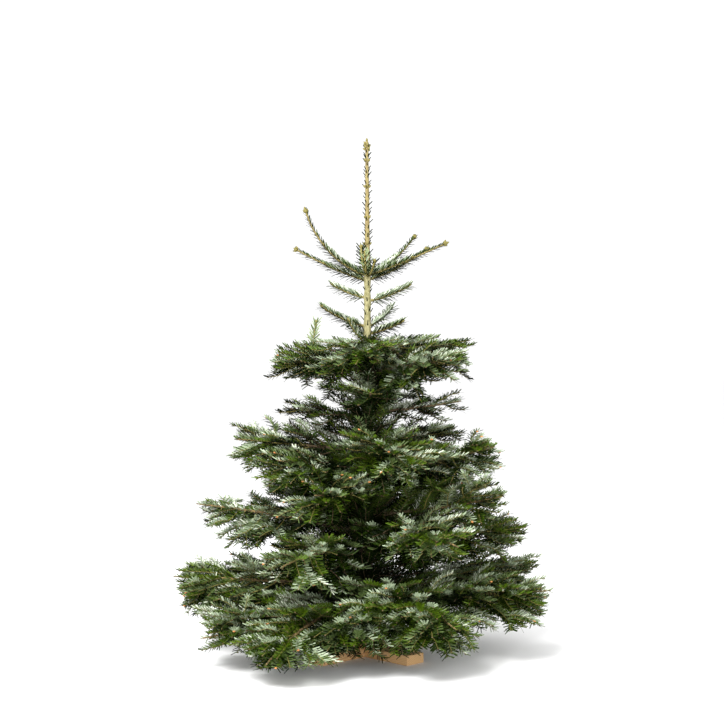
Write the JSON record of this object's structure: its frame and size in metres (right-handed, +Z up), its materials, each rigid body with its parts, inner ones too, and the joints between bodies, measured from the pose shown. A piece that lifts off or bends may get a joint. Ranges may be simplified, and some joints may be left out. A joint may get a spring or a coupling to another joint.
{
  "type": "christmas tree",
  "caption": "Cut fir Christmas tree, undecorated: tiers of needle-covered boughs round a straight trunk with a slim leading shoot, on a plain braced wooden cross stand.",
  "frame": {"origin": "on the floor, at the middle of the stand's flat underside, right under the trunk", "axes": "+Z up along the trunk, +X to the right of the front view, -Y towards the viewer"},
  "size_m": [1.1231, 1.0267, 1.5],
  "materials": {
    "foliage": "needles, deep green above and silvery below",
    "bark": "grey-brown bark, yellow-green on the young shoots",
    "timber": "sawn softwood, untreated"
  },
  "bodies": {
    "root": {"bough_broad_1": "bark", "bough_broad_2": "bark", "bough_broad_3": "bark", "bough_broad_4": "bark", "bough_broad_5": "bark", "bough_ground_1": "bark", "bough_ground_2": "bark", "bough_ground_3": "bark", "bough_ground_4": "bark", "bough_ground_5": "bark", "bough_ground_6": "bark", "foliage_broad_1": "foliage", "foliage_broad_2": "foliage", "foliage_broad_3": "foliage", "foliage_broad_4": "foliage", "foliage_broad_5": "foliage", "foliage_crown_1": "foliage", "foliage_crown_2": "foliage", "foliage_crown_3": "foliage", "foliage_crown_4": "foliage", "foliage_crown_5": "foliage", "foliage_ground_1": "foliage", "foliage_ground_2": "foliage", "foliage_ground_3": "foliage", "foliage_ground_4": "foliage", "foliage_ground_5": "foliage", "foliage_ground_6": "foliage", "foliage_high_spur_1": "foliage", "foliage_high_spur_2": "foliage", "foliage_low_spur_1": "foliage", "foliage_low_spur_2": "foliage", "foliage_low_spur_3": "foliage", "foliage_low_spur_4": "foliage", "foliage_lower_between_1": "foliage", "foliage_lower_between_2": "foliage", "foliage_lower_between_3": "foliage", "foliage_lower_between_4": "foliage", "foliage_lowest_1": "foliage", "foliage_middle_1": "foliage", "foliage_middle_2": "foliage", "foliage_middle_3": "foliage", "foliage_middle_4": "foliage", "foliage_middle_5": "foliage", "foliage_middle_6": "foliage", "foliage_top_1": "foliage", "foliage_top_2": "foliage", "foliage_top_3": "foliage", "foliage_top_4": "foliage", "foliage_top_5": "foliage", "foliage_upper_between_1": "foliage", "foliage_upper_between_2": "foliage", "foliage_upper_between_3": "foliage", "foliage_upper_between_4": "foliage", "stand_board_over": "timber", "stand_board_under": "timber", "stand_brace_1": "timber", "stand_brace_2": "timber", "stand_brace_3": "timber", "stand_brace_4": "timber", "trunk": "bark"}
  },
  "joints": []
}
